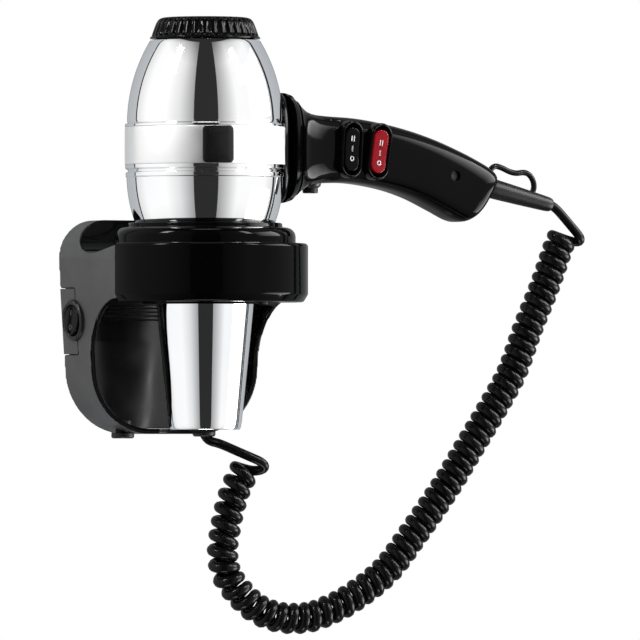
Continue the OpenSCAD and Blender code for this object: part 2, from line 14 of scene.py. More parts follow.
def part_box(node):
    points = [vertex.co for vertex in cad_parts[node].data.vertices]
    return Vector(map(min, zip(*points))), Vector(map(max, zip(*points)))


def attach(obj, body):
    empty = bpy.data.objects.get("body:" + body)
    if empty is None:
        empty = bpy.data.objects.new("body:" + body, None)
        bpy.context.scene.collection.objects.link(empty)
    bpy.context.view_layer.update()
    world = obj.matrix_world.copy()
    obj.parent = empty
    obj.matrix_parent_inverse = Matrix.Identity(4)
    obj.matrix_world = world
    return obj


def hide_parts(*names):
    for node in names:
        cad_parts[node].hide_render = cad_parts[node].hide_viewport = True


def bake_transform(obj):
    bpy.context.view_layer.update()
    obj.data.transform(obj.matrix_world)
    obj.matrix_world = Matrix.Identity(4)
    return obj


MM = 0.001
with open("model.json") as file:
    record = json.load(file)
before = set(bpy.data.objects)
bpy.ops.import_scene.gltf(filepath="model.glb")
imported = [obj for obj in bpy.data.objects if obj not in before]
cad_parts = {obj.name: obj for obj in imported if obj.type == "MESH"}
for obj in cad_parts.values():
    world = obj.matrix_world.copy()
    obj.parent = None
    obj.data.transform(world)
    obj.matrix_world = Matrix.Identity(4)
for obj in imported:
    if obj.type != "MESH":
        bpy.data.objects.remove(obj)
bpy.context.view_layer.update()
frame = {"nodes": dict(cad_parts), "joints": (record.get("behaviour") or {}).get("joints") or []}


# ---------------------------------------------------------------- frame places

def box_mm(node):
    low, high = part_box(node)
    return Vector(low) / MM, Vector(high) / MM


def joint(name):
    return next(j for j in frame["joints"] if j["name"] == name)


def joint_mm(name):
    return Vector(joint(name)["pos_m"]) / MM


nozzle_low, nozzle_high = box_mm("outlet_nozzle")
AXIS = (nozzle_low + nozzle_high) / 2       # the dryer's upright axis
AXIS.z = 0
AXIS_Y = AXIS.y
VIEW_TURN = math.radians(30)                # the camera stands this far to the left
RIGHT = Vector((math.cos(VIEW_TURN), -math.sin(VIEW_TURN), 0))
AHEAD = Vector((math.sin(VIEW_TURN), math.cos(VIEW_TURN), 0))


# ---------------------------------------------------------------- mesh helpers

def add_mesh(name, verts, faces, smooth=True):
    """A mesh object from points in millimetres."""
    mesh = bpy.data.meshes.new(name)
    mesh.from_pydata([Vector(v) * MM for v in verts], [], faces)
    if smooth:
        mesh.polygons.foreach_set("use_smooth", [True] * len(mesh.polygons))
    mesh.update()
    piece = bpy.data.objects.new(name, mesh)
    bpy.context.scene.collection.objects.link(piece)
    return piece


def bridge(rings, wrap):
    """Points and faces of a skin through rings of equal size, capped unless it wraps."""
    count = len(rings[0])
    verts = [p for ring in rings for p in ring]
    faces = []
    for k in range(len(rings) if wrap else len(rings) - 1):
        a, b = k * count, ((k + 1) % len(rings)) * count
        for i in range(count):
            j = (i + 1) % count
            faces.append((a + i, a + j, b + j, b + i))
    if not wrap:
        faces.append(tuple(reversed(range(count))))
        faces.append(tuple(range((len(rings) - 1) * count, len(rings) * count)))
    return verts, faces


def face_outwards(piece):
    bm = bmesh.new()
    bm.from_mesh(piece.data)
    bmesh.ops.recalc_face_normals(bm, faces=bm.faces)
    bm.to_mesh(piece.data)
    bm.free()
    return piece


def skin(name, rings, wrap=False, smooth=True):
    """A closed mesh through rings of points in millimetres, facing outwards."""
    return face_outwards(add_mesh(name, *bridge(rings, wrap), smooth))


def sharp_by_angle(piece, degrees=35):
    """Keep edges sharper than this crisp under smooth shading."""
    bm = bmesh.new()
    bm.from_mesh(piece.data)
    limit = math.radians(degrees)
    for edge in bm.edges:
        if len(edge.link_faces) == 2 and edge.calc_face_angle(0) > limit:
            edge.smooth = False
    bm.to_mesh(piece.data)
    bm.free()
    return piece


def soften(piece, width=0.4, segments=2, degrees=35):
    """Round a piece's hard edges with a bevel of this width in millimetres."""
    bevel = piece.modifiers.new("edge_round", "BEVEL")
    bevel.width = width * MM
    bevel.segments = segments
    bevel.limit_method = "ANGLE"
    bevel.angle_limit = math.radians(degrees)
    return piece


def join_meshes(name, parts):
    """One object from several, each already in place."""
    bm = bmesh.new()
    for part in parts:
        bm.from_mesh(part.data)
        bpy.data.objects.remove(part)
    mesh = bpy.data.meshes.new(name)
    bm.to_mesh(mesh)
    bm.free()
    piece = bpy.data.objects.new(name, mesh)
    bpy.context.scene.collection.objects.link(piece)
    return piece


def fillet(points, steps=5):
    """Round the corners of a closed outline. Each point is (a, b) or (a, b, radius)."""
    out = []
    count = len(points)
    for i, point in enumerate(points):
        here = Vector(point[:2])
        radius = point[2] if len(point) > 2 else 0
        if radius <= 0:
            out.append(here)
            continue
        to_last = Vector(points[i - 1][:2]) - here
        to_next = Vector(points[(i + 1) % count][:2]) - here
        half = to_last.angle(to_next) / 2
        reach = radius / math.tan(half)
        start = here + to_last.normalized() * reach
        end = here + to_next.normalized() * reach
        centre = here + (to_last.normalized() + to_next.normalized()).normalized() * (
            radius / math.sin(half))
        for k in range(steps + 1):
            t = k / steps
            chord = start.lerp(end, t) - centre
            out.append(centre + chord.normalized() * radius)
    return out


def arc(centre, radius, start, end, steps):
    """Points of an arc, with angles in degrees."""
    turn = (end - start) / steps
    return [(centre[0] + radius * math.cos(math.radians(start + turn * i)),
             centre[1] + radius * math.sin(math.radians(start + turn * i)))
            for i in range(steps + 1)]


def lathe(name, profile, segments=192, centre=None):
    """A closed radius and height outline, turned about an upright axis."""
    at = AXIS if centre is None else centre
    rings = []
    for s in range(segments):
        angle = 2 * math.pi * s / segments
        c, n = math.cos(angle), math.sin(angle)
        rings.append([(at.x + p[0] * c, at.y + p[0] * n, at.z + p[1]) for p in profile])
    return sharp_by_angle(skin(name, rings, wrap=True), 28)


def spline(points, per_span):
    """A Catmull-Rom curve through points of two or three numbers."""
    pts = [Vector(p) for p in points]
    pts = [pts[0] * 2 - pts[1]] + pts + [pts[-1] * 2 - pts[-2]]
    out = []
    for i in range(1, len(pts) - 2):
        a, b, c, d = pts[i - 1:i + 3]
        for k in range(per_span):
            t = k / per_span
            out.append(0.5 * (2 * b + (c - a) * t + (2 * a - 5 * b + 4 * c - d) * t * t
                              + (3 * b - a - 3 * c + d) * t * t * t))
    out.append(pts[-2])
    return out


def even(points, step):
    """The same line with points a fixed step apart."""
    out = [points[0].copy()]
    left = step
    for a, b in zip(points, points[1:]):
        span = (b - a).length
        done = 0
        while span - done >= left:
            done += left
            out.append(a.lerp(b, done / span))
            left = step
        left -= span - done
    if (out[-1] - points[-1]).length > step * 0.3:
        out.append(points[-1].copy())
    else:
        out[-1] = points[-1].copy()
    return out


def tube(name, path, radius, sides):
    """A round tube along a path. radius is a number, or one for each point."""
    count = len(path)
    tangents = [(path[min(i + 1, count - 1)] - path[max(i - 1, 0)]).normalized()
                for i in range(count)]
    across = tangents[0].orthogonal().normalized()
    rings = []
    for i, point in enumerate(path):
        across = (across - tangents[i] * across.dot(tangents[i])).normalized()
        other = tangents[i].cross(across)
        r = radius[i] if isinstance(radius, list) else radius
        rings.append([point + r * (math.cos(a) * across + math.sin(a) * other)
                      for a in (2 * math.pi * k / sides for k in range(sides))])
    return skin(name, rings)


# ---------------------------------------------------------------- materials

def noise(nodes, links, scale, detail, stretch=(1, 1, 1)):
    """Noise over the object's own coordinates, which don't move with the view."""
    coordinates = nodes.new("ShaderNodeTexCoord")
    mapping = nodes.new("ShaderNodeMapping")
    mapping.inputs["Scale"].default_value = stretch
    texture = nodes.new("ShaderNodeTexNoise")
    texture.inputs["Scale"].default_value = scale
    texture.inputs["Detail"].default_value = detail
    links.new(coordinates.outputs["Object"], mapping.inputs["Vector"])
    links.new(mapping.outputs["Vector"], texture.inputs["Vector"])
    return texture.outputs["Fac"]


def surface(name, colour, roughness, tone, wear=None, grain=None, metallic=0.0, level=0.5):
    """A Principled material with fine procedural variation.

    tone is (noise, dark, light colour), wear (noise, least, most roughness) and grain
    (noise, strength, depth in millimetres). Each noise is (scale, detail) or has a stretch.
    """
    material = bpy.data.materials.new(name)
    material.use_nodes = True
    nodes, links = material.node_tree.nodes, material.node_tree.links
    sockets = nodes["Principled BSDF"].inputs
    sockets["Base Color"].default_value = (*colour, 1)
    sockets["Roughness"].default_value = roughness
    sockets["Metallic"].default_value = metallic
    sockets["Specular IOR Level"].default_value = level

    spots, dark, light = tone
    ramp = nodes.new("ShaderNodeValToRGB")
    for element, position, shade in zip(ramp.color_ramp.elements, (0.35, 0.65), (dark, light)):
        element.position = position
        element.color = (*shade, 1)
    links.new(noise(nodes, links, *spots), ramp.inputs["Fac"])
    links.new(ramp.outputs["Color"], sockets["Base Color"])
    if wear:
        spots, least, most = wear
        ramp = nodes.new("ShaderNodeMapRange")
        for key, value in (("From Min", 0.3), ("From Max", 0.7), ("To Min", least),
                           ("To Max", most)):
            ramp.inputs[key].default_value = value
        links.new(noise(nodes, links, *spots), ramp.inputs["Value"])
        links.new(ramp.outputs["Result"], sockets["Roughness"])
    if grain:
        spots, strength, depth = grain
        bump = nodes.new("ShaderNodeBump")
        bump.inputs["Strength"].default_value = strength
        bump.inputs["Distance"].default_value = depth * MM
        links.new(noise(nodes, links, *spots), bump.inputs["Height"])
        links.new(bump.outputs["Normal"], sockets["Normal"])
    return material


def gloss_black(name="black_gloss", base=0.002, level=0.07, roughness=0.07):
    """Polished black moulding with faint handling marks."""
    return surface(name, (base, base, base * 1.05), roughness, level=level,
                   tone=((12, 2), (base * 0.8,) * 3, (base * 1.3,) * 3),
                   wear=((35, 4), roughness * 0.7, roughness * 1.6))


def satin_black(name="black_satin", base=0.008, roughness=0.38, level=0.25):
    """Fine spark-eroded black moulding."""
    return surface(name, (base, base, base * 1.05), roughness, level=level,
                   tone=((25, 2), (base * 0.85,) * 3, (base * 1.2,) * 3),
                   wear=((60, 3), roughness * 0.85, roughness * 1.2),
                   grain=((2600, 2), 0.25, 0.06))


def moulded_plain(name, colour, roughness=0.5):
    """An unpolished inner moulding."""
    return surface(name, colour, roughness, grain=((1200, 3), 0.2, 0.05),
                   tone=((80, 3), tuple(c * 0.85 for c in colour),
                         tuple(min(1, c * 1.15) for c in colour)))


def plated_steel(name="plated_steel", colour=(0.62, 0.61, 0.58)):
    """Plated small metal parts with fine turning marks."""
    marks = (600, 3, (1, 6, 1))
    return surface(name, colour, 0.32, metallic=1.0, wear=(marks, 0.24, 0.42),
                   tone=(marks, tuple(c * 0.85 for c in colour), colour))


gloss = gloss_black()
ring_gloss = gloss_black("ring_gloss", 0.0015, 0.05, 0.07)
panel_gloss = gloss_black("panel_gloss", 0.006, 0.4, 0.16)
badge_gloss = gloss_black("badge_gloss", 0.006, 0.3, 0.2)
loop_gloss = gloss_black("loop_gloss", 0.004, 0.12, 0.16)
satin = satin_black()
# Grey satin for the holder's outer sides, its plate and the side rocker's marks: a real satin
# finish, but its lighter base is partly painted sheen from the light on the sides
grey_satin_and_sheen = satin_black("grey_satin_and_painted_sheen", 0.045, 0.45, 0.5)
# Bright chrome over moulded plastic: a trace of ripple and fine wipe marks
chrome = surface("chrome_plate", (0.86, 0.865, 0.875), 0.03, metallic=1.0,
                 tone=((15, 2), (0.82, 0.83, 0.85), (0.89, 0.89, 0.89)),
                 wear=((40, 5, (1, 1, 0.3)), 0.015, 0.05), grain=((22, 1), 0.05, 0.25))
satin_chrome = surface("satin_chrome", (0.82, 0.82, 0.815), 0.42, metallic=1.0,
                       tone=((30, 2), (0.81, 0.81, 0.81), (0.84, 0.84, 0.835)),
                       wear=((1400, 2), 0.38, 0.46), grain=((1400, 2), 0.05, 0.03))
# Smooth black PVC with a soft sheen and a little dust
sheath = surface("cord_sheath", (0.004,) * 3, 0.2, level=0.1,
                 tone=((60, 2), (0.003,) * 3, (0.006,) * 3),
                 wear=((240, 4), 0.16, 0.27), grain=((900, 2), 0.08, 0.03))
rubber = surface("soft_rubber", (0.01, 0.0095, 0.0095), 0.33, level=0.15,
                 tone=((60, 3), (0.008, 0.0075, 0.0075), (0.014, 0.013, 0.013)),
                 grain=((1800, 3), 0.2, 0.05))
red_gloss = surface("red_gloss", (0.36, 0.002, 0.012), 0.2, level=0.15,
                    tone=((120, 2), (0.33, 0.002, 0.01), (0.4, 0.003, 0.014)),
                    wear=((300, 3), 0.12, 0.22))
ink = surface("white_ink", (0.8, 0.8, 0.78), 0.5,
              tone=((900, 3), (0.7, 0.7, 0.68), (0.86, 0.86, 0.85)))
inner = moulded_plain("inner_moulding", (0.06, 0.06, 0.065))
nylon = moulded_plain("natural_nylon", (0.72, 0.71, 0.66), 0.45)
mica = moulded_plain("pressed_mica", (0.5, 0.42, 0.28), 0.6)
steel = plated_steel()
# Near-black steel for the handle screw: painted shade, dark so that its deep screw well reads as
# shaded
well_shade_steel = plated_steel("steel_painted_well_shade", (0.03, 0.03, 0.03))
wire = plated_steel("resistance_wire", (0.4, 0.36, 0.33))


def dress(piece, material):
    """Give a piece one material all over."""
    piece.data.materials.clear()
    piece.data.materials.append(material)
    return piece


def place(piece, material, body, slot, *stands_for):
    """Dress a piece, ride it on its body, and hide the nodes it stands for. The slot argument is
    not used.
    """
    dress(piece, material)
    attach(piece, body)
    if stands_for:
        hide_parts(*stands_for)
    return piece


# ---------------------------------------------------------------- camera

VIEW_WIDTH = 360.3          # width of the scene that the frame covers, at the dryer
VIEW_DISTANCE = 6000.0
VIEW_RIGHT = 64.7           # the frame's middle lies this far right of the dryer's axis
VIEW_MIDDLE = 3.7           # and at this height
CAMERA_RISE = -60.0         # the camera stands this much higher than that
SENSOR = 36.0


def make_camera():
    data = bpy.data.cameras.new("camera")
    data.sensor_width = SENSOR
    data.lens = SENSOR * VIEW_DISTANCE / VIEW_WIDTH
    data.clip_end = 30
    camera = bpy.data.objects.new("camera", data)
    bpy.context.scene.collection.objects.link(camera)
    target = Vector((0, AXIS_Y, VIEW_MIDDLE)) + RIGHT * VIEW_RIGHT
    spot = target - AHEAD * VIEW_DISTANCE + Vector((0, 0, CAMERA_RISE))
    camera.location = spot * MM
    camera.rotation_euler = (target - spot).to_track_quat("-Z", "Y").to_euler()
    bpy.context.scene.camera = camera


make_camera()


# ---------------------------------------------------------------- cord

WIRE_D = 5.6                # declared diameter: the leads are a little less, the curl more
LEAD_R = 2.65
CURL_R = 3.12
CURL_D = 18.2               # over the turns
GLAND_X, GLAND_Y = 26.4, -18.0
gland_low = box_mm("cord_gland")[0]
RELIEF_AT = Vector((184, AXIS_Y, 80.8))
RELIEF_TILT = math.radians(13)
RELIEF_LEN = 45.0
relief_way = Vector((math.cos(RELIEF_TILT), 0, -math.sin(RELIEF_TILT)))
RELIEF_END = RELIEF_AT + relief_way * RELIEF_LEN

# Each lead's points: X, Z and how far it stands in front of the cord's plane
LEAD_HANDLE = [(233, 66.4, 0), (239, 59.4, 0), (243.8, 53.9, 0), (246.2, 50.6, -1.5),
               (244.2, 49.4, -4.6)]
COIL = [(235, 54), (232.5, 48), (224, 24), (214.2, 0), (205, -25), (194, -45),
        (181, -66.5), (166, -91), (147.5, -117.5), (131, -139), (111.5, -154), (98, -161),
        (86, -165), (70.5, -165), (57, -160), (46.5, -150.5), (39, -139.5), (37, -127),
        (38.5, -115), (41, -103), (45, -90.5), (51, -78.6)]
LEAD_HOLDER = [(60.8, -80.6, 2), (59.4, -77.2, 5), (50, -72.9, 5), (42, -69.2, 3),
               (34, -65.6, 1.2)]
# Share of the curl's length, and the pitch of its turns there
PITCHES = [(0, 6.3), (0.45, 6.5), (0.7, 6.9), (0.85, 7.8), (1, 7.8)]
TURN_POINTS = 18


# The cord hangs in an upright plane, from the gland out to the strain relief
PLANE_RUN, PLANE_OUT = 202, 48
BEHIND = Vector((PLANE_OUT, PLANE_RUN, 0)).normalized()


def in_plane(x, z, ahead=0):
    """A point of the cord's plane, or this far in front of it."""
    return Vector((x, GLAND_Y - PLANE_OUT * (x - GLAND_X) / PLANE_RUN, z)) - BEHIND * ahead


def pitch_at(share):
    for (s0, p0), (s1, p1) in zip(PITCHES, PITCHES[1:]):
        if share <= s1:
            return p0 + (p1 - p0) * (share - s0) / (s1 - s0)
    return PITCHES[-1][1]


def curl_points(middle):
    """The helix round the coil's middle line, starting and ending at its right side."""
    step = 0.25
    line = even(middle, step)
    last = len(line) - 1
    turned = [0.0]
    for i in range(last):
        turned.append(turned[-1] + step / pitch_at(i / last))
    turns = math.floor(turned[-1]) + 0.5
    grow = turns / turned[-1]
    radius = CURL_D / 2 - CURL_R
    out = []
    i = 0
    for k in range(int(turns * TURN_POINTS) + 1):
        goal = k / TURN_POINTS / grow
        while i < last - 1 and turned[i + 1] < goal:
            i += 1
        part = min(max((goal - turned[i]) / (turned[i + 1] - turned[i]), 0), 1)
        here = line[i].lerp(line[i + 1], part)
        way = (line[min(i + 8, last)] - line[max(i - 7, 0)]).normalized()
        side = BEHIND.cross(way).normalized()
        angle = math.pi + 2 * math.pi * k / TURN_POINTS
        out.append(here + radius * (math.cos(angle) * side - math.sin(angle) * BEHIND))
    return out


def relax(points, rounds):
    """Ease the kinks out of a line; its ends stay."""
    for _ in range(rounds):
        points = ([points[0]] + [(a + b * 2 + c) / 4 for a, b, c in
                                 zip(points, points[1:], points[2:])] + [points[-1]])
    return points


def cord_path():
    """The whole cord from the strain relief to the gland, and its radius at each point."""
    curl = curl_points(spline([in_plane(*p) for p in COIL], 12))[5:]
    first = [RELIEF_END - relief_way * 1.5, RELIEF_END + relief_way * 1.2]
    lead = [in_plane(*p) for p in LEAD_HANDLE]
    lead_in = spline([*first, *lead, curl[0], curl[2], curl[4]], 8)
    last = [in_plane(*p) for p in LEAD_HOLDER]
    gland = Vector((GLAND_X, GLAND_Y, gland_low.z))
    lead_out = spline([curl[-5], curl[-3], curl[-1], *last, gland + Vector((2.2, -0.4, -2.4)),
                       gland + Vector((0, 0, 1.5))], 8)
    lead_in = relax(even(lead_in, 1.5), 5)
    lead_out = relax(even(lead_out, 1.5), 5)
    curl = curl[5:-5]

    def thinned(steps_away):
        return LEAD_R + (CURL_R - LEAD_R) * max(0, 1 - steps_away / 10)

    sizes = ([thinned(len(lead_in) - k) for k in range(len(lead_in))] + [CURL_R] * len(curl)
             + [thinned(k) for k in range(len(lead_out))])
    return lead_in + curl + lead_out, sizes


path, wire_sizes = cord_path()
cord = dress(tube("curly_cord", path, wire_sizes, 14), sheath)
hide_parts("cord_lead_handle", "cord_coil", "cord_lead_holder")
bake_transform(cord)


# ---------------------------------------------------------------- chrome body

BAND_R = 45.3
BAND_Z0, BAND_Z1 = (corner.z for corner in box_mm("middle_band"))
DOME_R, DOME_C = 91.5, (-47.5, 114.0)       # the upper shell's arc, as radius and height
BOWL_R, BOWL_C = 81.5, (-37.2, 86.0)        # the lower shell's
SHELL_T = 1.8


def curve_r(centre, radius, z):
    return centre[0] + math.sqrt(radius * radius - (z - centre[1]) ** 2)


def body_r(z, waist):
    """The body's radius at a height, with this one between the two shells' arcs."""
    if z > DOME_C[1]:
        return curve_r(DOME_C, DOME_R, z)
    return curve_r(BOWL_C, BOWL_R, z) if z < BOWL_C[1] else waist


def curve(centre, radius, z0, z1, steps=28):
    return [(curve_r(centre, radius, z0 + (z1 - z0) * i / steps), z0 + (z1 - z0) * i / steps)
            for i in range(steps + 1)]


def make_upper_shell():
    top = box_mm("upper_shell")[1].z
    bead = fillet([(BAND_R - SHELL_T, BAND_Z1), (BAND_R - 0.15, BAND_Z1, 0.3),
                   (BAND_R - 0.15, BAND_Z1 + 1.7, 0.7), (43.6, BAND_Z1 + 2.1, 0.35),
                   (44.0, BAND_Z1 + 3.4)], 4)[:-1]
    outside = curve(DOME_C, DOME_R, BAND_Z1 + 3.4, top - 0.5)
    rim = [(outside[-1][0] - 0.4, top), (28.7, top), (28.7, top - SHELL_T)]
    inside = curve(DOME_C, DOME_R - SHELL_T, top - SHELL_T, BAND_Z1 + 1)
    piece = lathe("chrome_upper_shell", bead + outside + rim + inside)
    place(piece, chrome, "dryer", "chrome", "upper_shell")


def make_middle_band():
    profile = fillet([(BAND_R - SHELL_T, BAND_Z0 + 0.05), (BAND_R, BAND_Z0 + 0.05, 0.35),
                      (BAND_R, BAND_Z1 - 0.1, 0.35), (BAND_R - SHELL_T, BAND_Z1 - 0.1)], 4)
    place(lathe("satin_middle_band", profile), satin_chrome, "dryer", "chrome_band",
          "middle_band")


def make_lower_shell():
    low = box_mm("lower_shell")[0].z
    step = fillet([(44.55, 84.0), (44.75, 84.4, 0.2), (44.75, 86.6, 0.5), (43.5, 87.0, 0.25),
                   (43.5, 88.0, 0.25), (45.0, 88.8, 0.5), (45.0, BAND_Z0)], 4)
    outside = curve(BOWL_C, BOWL_R, 42, 83.8)
    inside = curve(BOWL_C, BOWL_R - SHELL_T, 86, 43.8)
    profile = ([(27.4, low), (27.4, 41.6)] + outside + step[1:]
               + [(45 - SHELL_T, BAND_Z0)] + inside + [(25.6, 43.8), (25.6, low)])
    place(lathe("chrome_lower_shell", profile), chrome, "dryer", "chrome", "lower_shell")


def make_nozzle():
    mouth, top = nozzle_low.z, nozzle_high.z
    mouth_r, taper, wall = 20.3, 0.1014, 1.4
    bend = mouth + 5.5

    def radius(z):
        return mouth_r + (z - mouth) * taper

    lip = spline([(radius(bend), bend), (radius(bend) - 0.35, bend - 2.2),
                  (mouth_r - 0.25, mouth + 1.2), (mouth_r - 0.7, mouth + 0.2),
                  (mouth_r - 1.2, mouth + 0.02), (mouth_r - 1.65, mouth + 0.5)], 4)
    outside = [(radius(top), top), (radius((top + bend) / 2), (top + bend) / 2)]
    inside = [(mouth_r - wall + 0.2, mouth + 3), (radius(top) - wall, top)]
    piece = lathe("chrome_nozzle", outside + lip + inside)
    place(piece, chrome, "dryer", "chrome", "outlet_nozzle")


def make_nameplate():
    """A blank rounded badge that wraps the band a little right of the view."""
    low, high = box_mm("nameplate")
    middle_z = (BAND_Z0 + BAND_Z1) / 2
    half_w, half_h, corner = 8.75, (high.z - low.z) / 2, 2.3
    facing = math.radians(-20)
    loops = []
    for inset, lift in ((0, 0.0), (0, 0.55), (0.15, 0.8), (0.5, 0.95), (4, 1.0)):
        w, h = half_w - inset, half_h - inset
        r = max(corner - inset, 0.3)
        outline = fillet([(-w, -h, r), (w, -h, r), (w, h, r), (-w, h, r)], 8)
        loop = []
        for p in outline:
            angle = facing + p[0] / BAND_R
            reach = BAND_R + lift
            loop.append((reach * math.sin(angle), AXIS_Y - reach * math.cos(angle),
                         middle_z + p[1]))
        loops.append(loop)
    place(skin("blank_nameplate", loops), badge_gloss, "dryer", "black_satin", "nameplate")


# ---------------------------------------------------------------- inlet cap

CAP_H = 12.1
RIBS = 36
GRILLE_R = 23.2


def make_inlet_cap():
    low = box_mm("inlet_cap")[1].z - CAP_H
    segments = 8 * RIBS
    outer = [(30.9, 0.0), (31.1, 0.3), (31.0, 1.0), (30.6, 1.25), (30.3, 1.3), (29.6, 3.4),
             (28.6, 6.2), (27.6, 8.8), (26.8, 10.2), (26.0, 11.1), (24.9, 11.7), (23.6, 12.0)]
    inside = [(22.8, CAP_H), (22.6, 11.0), (22.4, 9.6), (26.4, 8.6), (28.0, 0.3)]
    rings = []
    for r, h in outer + inside:
        ribbed = 1.28 <= h <= 11.85 and (r > 28.0 or h >= 9.7)
        ring = []
        for s in range(segments):
            angle = 2 * math.pi * s / segments
            crest = 0.5 + 0.5 * math.cos(RIBS * angle)
            reach = r - (1.3 * (1 - crest) ** 2.2 if ribbed else 0)
            ring.append((reach * math.cos(angle), AXIS_Y + reach * math.sin(angle), low + h))
        rings.append(ring)
    parts = [skin("cap_rim", rings, wrap=True)]
    centre = Vector((0, AXIS_Y, low))
    for r in (3.0, 7.5, 11.5, 15.5, 19.5):
        parts.append(lathe("grille_ring", fillet([(r - 0.7, 9.2, 0.3), (r + 0.7, 9.2, 0.3),
                     (r + 0.7, 11.4, 0.4), (r - 0.7, 11.4, 0.4)], 3), 96, centre))
    parts.append(lathe("grille_boss", fillet([(0.01, 9.0), (3.2, 9.0), (3.2, 11.6, 0.5),
                                              (0.01, 11.6)], 3), 48, centre))
    for k in range(18):
        start = 3.0 if k % 3 == 0 else 7.2
        bar = prism("grille_bar", [(start, -0.55), (GRILLE_R, -0.55), (GRILLE_R, 0.55),
                                   (start, 0.55)], 9.3, 11.0, "z")
        turn = Matrix.Rotation(2 * math.pi * k / 18, 4, "Z")
        bar.data.transform(Matrix.Translation(centre * MM) @ turn)
        parts.append(bar)
    place(join_meshes("ribbed_inlet_cap", parts), gloss, "cap", "black_gloss", "inlet_cap")


# ---------------------------------------------------------------- handle

HANDLE_Z = 101.0
GRIP_W = 16.2               # half thickness of the grip
PART_FRONT = 12.5           # the front cover lies further forward than this
# X and Z of each ring's middle, tilt in degrees, half height, share of the thickness
HANDLE_RINGS = [(46, 101, 0, 31.2, 1.6), (50, 101, 0, 30, 1.44), (53.5, 100.8, 0, 27, 1.26),
                (57, 100.5, 0, 24.3, 1.15), (61, 100.4, 0, 21.8, 1.09), (67, 100.4, 0, 20, 1.04),
                (76, 100.5, -1.5, 19, 1.01), (95, 99.9, -6, 18.4, 1), (118, 96.3, -12, 18, 1),
                (138, 90.8, -18, 18, 1), (156, 83.6, -24, 18.4, 1), (168, 78.1, -28, 18.5, 0.99),
                (174, 75.7, -30, 17.6, 0.97), (178, 75.2, -31, 15.2, 0.9),
                (180.6, 75.5, -32, 11.6, 0.74), (181.8, 75.6, -32, 7, 0.5),
                (182.1, 75.6, -32, 2.5, 0.2)]
SQUARENESS = 3.5            # power of the rings' superellipse
SCREW_AT = (154.7, 86.4)
SCREW_R = 3.1


def spline_rows(rows, per_span):
    """spline() for rows of five numbers."""
    first = spline([r[:3] for r in rows], per_span)
    second = spline([(r[3], r[4], 0) for r in rows], per_span)
    return [(*a, b[0], b[1]) for a, b in zip(first, second)]


def handle_point(g, angle, inset=0.0):
    """A point of a handle ring. Angle 0 is the back, 90 the top and 180 the front."""
    c, s = math.cos(angle), math.sin(angle)
    power = 2 / SQUARENESS
    y = math.copysign(abs(c) ** power, c) * (g[4] * GRIP_W - inset)
    v = math.copysign(abs(s) ** power, s) * (g[3] - inset)
    tilt = math.radians(g[2])
    return Vector((g[0] - v * math.sin(tilt), AXIS_Y + y, g[1] + v * math.cos(tilt)))


def flare_cut(point):
    """Keep the handle's root out of the body by moving it on to the flange's face."""
    face_r = body_r(point.z, BAND_R) + 2.7
    across = point.y - AXIS_Y
    least = math.sqrt(max(face_r * face_r - across * across, 0))
    point.x = max(point.x, least)
    return point


def cut_angle(g):
    """Ring angle at which the front cover begins, from the top."""
    share = PART_FRONT / (g[4] * GRIP_W)
    if share >= 1:
        return None
    return math.acos(-(share ** (SQUARENESS / 2)))


def make_handle():
    stations = spline_rows(HANDLE_RINGS, 6)
    sides = 72
    rings = []
    for g in stations:
        ring = []
        edge = cut_angle(g)
        for k in range(sides):
            angle = 2 * math.pi * (k + 0.5) / sides
            from_front = abs(angle - math.pi)
            under = edge is not None and from_front < math.pi - edge + 0.02
            ring.append(flare_cut(handle_point(g, angle, 0.9 if under else 0)))
        rings.append(ring)
    rear = skin("handle_rear", rings)
    combine(rear, cylinder("screw_well", SCREW_AT, SCREW_R, AXIS_Y - 30, AXIS_Y - 6, "y", 48))
    place(sharp_by_angle(rear, 40), gloss, "dryer", "black_gloss", "handle_rear_shell")

    cover_from, cover_to = 10, len(stations) - 17
    steps = 40
    outer, inner = [], []
    for g in stations[cover_from:cover_to]:
        edge = cut_angle(g)
        top, low = edge + 0.035, 2 * math.pi - edge - 0.035
        angles = [top + (low - top) * i / steps for i in range(steps + 1)]
        outer.append([flare_cut(handle_point(g, a, 0.02)) for a in angles])
        inner.append([flare_cut(handle_point(g, a, 1.4)) for a in angles])
    cover = skin("handle_front_cover", [a + list(reversed(b)) for a, b in zip(outer, inner)])
    combine(cover, cylinder("screw_recess", SCREW_AT, SCREW_R, AXIS_Y - 30, AXIS_Y - 5, "y",
                            48))
    soften(sharp_by_angle(cover, 40), 0.35, 3, 45)
    place(cover, gloss, "dryer", "black_gloss", "handle_front_shell")


def make_flange():
    """The saddle that seats the handle on the body: a pebble edge round an oval."""
    thick, half_w, half_h, power, waist = 3.2, 27.0, 32.0, 0.72, 44.0
    rows = [(0.0, 1.0), (0.35, 1.0), (0.7, 1.0), (0.86, 1.0), (0.9, 0.985), (0.94, 0.92),
            (0.97, 0.8), (0.99, 0.6), (1.0, 0.35), (1.0, 0.0), (0.9, 0.0), (0.5, 0.0)]
    sides = 96
    rings = []
    for share, lift in rows[1:]:
        ring = []
        for k in range(sides):
            a = 2 * math.pi * (k + 0.5) / sides
            across, up = math.cos(a), math.sin(a)
            y = half_w * share * math.copysign(abs(across) ** power, across)
            z = HANDLE_Z + half_h * share * math.copysign(abs(up) ** power, up)
            r = max(body_r(z, waist), waist if 83 < z < 116 else 0) + 0.3 + thick * lift
            ring.append((math.sqrt(max(r * r - y * y, 1)), AXIS_Y + y, z))
        rings.append(ring)
    place(skin("handle_saddle", rings), gloss, "dryer", "black_gloss", "handle_flange")


# ---------------------------------------------------------------- switches

def stadium(l, w, steps=16):
    """Outline with straight sides, half length l up and half width w across."""
    straight = l - w
    rows = [straight * (1 - 2 * i / 12) for i in range(1, 12)]
    top = [(p[0], p[1] + straight) for p in arc((0, 0), w, 0, 180, steps)]
    low = [(p[0], p[1] - straight) for p in arc((0, 0), w, 180, 360, steps)]
    return top + [(-w, z) for z in rows] + low + [(w, -z) for z in rows]


